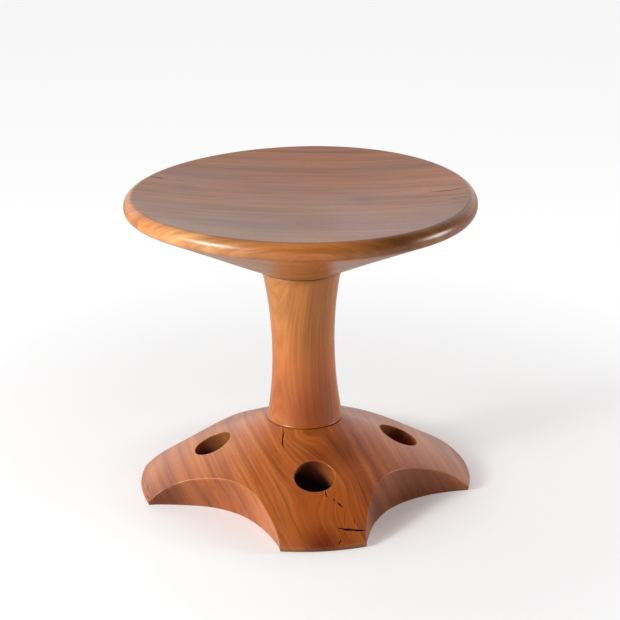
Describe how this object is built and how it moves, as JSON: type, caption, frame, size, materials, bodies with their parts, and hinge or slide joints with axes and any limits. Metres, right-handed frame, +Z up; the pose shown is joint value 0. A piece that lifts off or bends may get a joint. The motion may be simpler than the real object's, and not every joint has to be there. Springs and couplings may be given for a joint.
{
  "type": "stool",
  "caption": "Turned wooden pedestal stool: dished round seat with a bullnose rim, waisted column and a domed base scooped into drilled feet.",
  "frame": {"origin": "on the floor under the middle of the column", "axes": "+Z up through the column, one foot towards each of -Y, +X, +Y and -X, and the seat's grain along X"},
  "size_m": [0.5, 0.5, 0.442],
  "materials": {
    "seat_wood": "satin oil",
    "column_wood": "satin oil",
    "base_wood": "satin oil",
    "wedge_wood": "bare"
  },
  "bodies": {
    "root": {"seat": "seat_wood", "column": "column_wood", "base": "base_wood", "seat_wedge": "wedge_wood", "base_wedge": "wedge_wood"}
  },
  "joints": []
}
